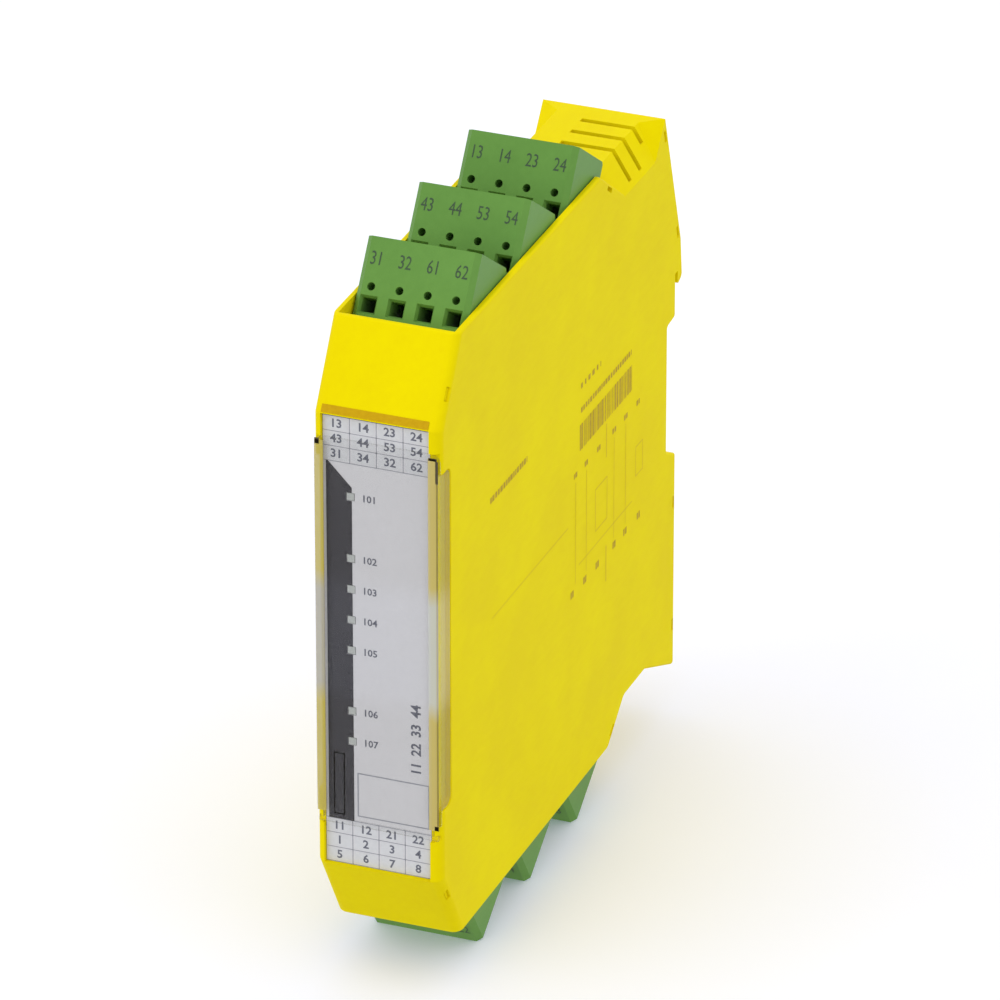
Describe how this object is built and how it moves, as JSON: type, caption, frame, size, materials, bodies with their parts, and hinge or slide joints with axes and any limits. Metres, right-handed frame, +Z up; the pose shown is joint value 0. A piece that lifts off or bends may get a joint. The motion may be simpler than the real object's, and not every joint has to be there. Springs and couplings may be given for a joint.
{
  "type": "safety relay",
  "caption": "Slim DIN-rail safety relay in a yellow housing with pluggable green spring terminals at top and bottom, a hinged clear cover over the label, hood vents and a sprung rail latch.",
  "frame": {"origin": "middle of the 35 mm top-hat rail, on the plane where the rail flanges touch the housing", "axes": "+X across the module, to the right seen from the label; +Y back towards the rail; +Z up"},
  "size_m": [0.0226, 0.1145, 0.1296],
  "materials": {
    "housing": "fine eroded mould texture",
    "label": "satin printed plate",
    "clear": "clear polished",
    "terminal": "satin moulded",
    "spring_steel": "bare spring steel",
    "contact": "tinned brass",
    "board": "solder mask",
    "relay_case": "smooth case",
    "chip": "black epoxy",
    "capacitor": "sleeved can",
    "ferrite": "ferrite",
    "led": "diffuse",
    "latch": "satin moulded"
  },
  "bodies": {
    "housing": {"board_connector": "contact", "bottom_header_1": "terminal", "bottom_header_1_pins": "contact", "bottom_header_2": "terminal", "bottom_header_2_pins": "contact", "bottom_header_3": "terminal", "bottom_header_3_pins": "contact", "controller_chips": "chip", "housing_shell": "housing", "label_plate": "label", "latch_spring": "spring_steel", "light_guide": "clear", "logic_board": "board", "main_board": "board", "power_capacitors": "capacitor", "power_inductor": "ferrite", "relay_1": "relay_case", "relay_2": "relay_case", "relay_3": "relay_case", "relay_4": "relay_case", "side_cover": "housing", "status_leds": "led", "top_header_1": "terminal", "top_header_1_pins": "contact", "top_header_2": "terminal", "top_header_2_pins": "contact", "top_header_3": "terminal", "top_header_3_pins": "contact"},
    "cover": {"clear_cover": "clear"},
    "latch": {"rail_latch": "latch"},
    "top_plug_1": {"top_plug_1": "terminal", "top_plug_1_springs": "spring_steel"},
    "top_plug_2": {"top_plug_2": "terminal", "top_plug_2_springs": "spring_steel"},
    "top_plug_3": {"top_plug_3": "terminal", "top_plug_3_springs": "spring_steel"},
    "bottom_plug_1": {"bottom_plug_1": "terminal", "bottom_plug_1_springs": "spring_steel"},
    "bottom_plug_2": {"bottom_plug_2": "terminal", "bottom_plug_2_springs": "spring_steel"},
    "bottom_plug_3": {"bottom_plug_3": "terminal", "bottom_plug_3_springs": "spring_steel"}
  },
  "joints": [
    {"name": "cover_hinge", "type": "hinge", "parent": "housing", "child": "cover", "pos_m": [0, -0.1107, -0.0375], "axis": [1, 0, 0], "range_deg": [0, 110]},
    {"name": "latch_slide", "type": "slide", "parent": "housing", "child": "latch", "axis": [0, 0, -1], "range_m": [0, 0.003], "stiffness_N_per_m": 1500, "springref_m": -0.002, "deforming": ["latch_spring"]},
    {"name": "top_plug_1_pull", "type": "slide", "parent": "housing", "child": "top_plug_1", "axis": [0, 0.5592, 0.829], "range_m": [0, 0.028]},
    {"name": "top_plug_2_pull", "type": "slide", "parent": "housing", "child": "top_plug_2", "axis": [0, 0.5592, 0.829], "range_m": [0, 0.028]},
    {"name": "top_plug_3_pull", "type": "slide", "parent": "housing", "child": "top_plug_3", "axis": [0, 0.5592, 0.829], "range_m": [0, 0.028]},
    {"name": "bottom_plug_1_pull", "type": "slide", "parent": "housing", "child": "bottom_plug_1", "axis": [0, 0.5592, -0.829], "range_m": [0, 0.028]},
    {"name": "bottom_plug_2_pull", "type": "slide", "parent": "housing", "child": "bottom_plug_2", "axis": [0, 0.5592, -0.829], "range_m": [0, 0.028]},
    {"name": "bottom_plug_3_pull", "type": "slide", "parent": "housing", "child": "bottom_plug_3", "axis": [0, 0.5592, -0.829], "range_m": [0, 0.028]}
  ]
}
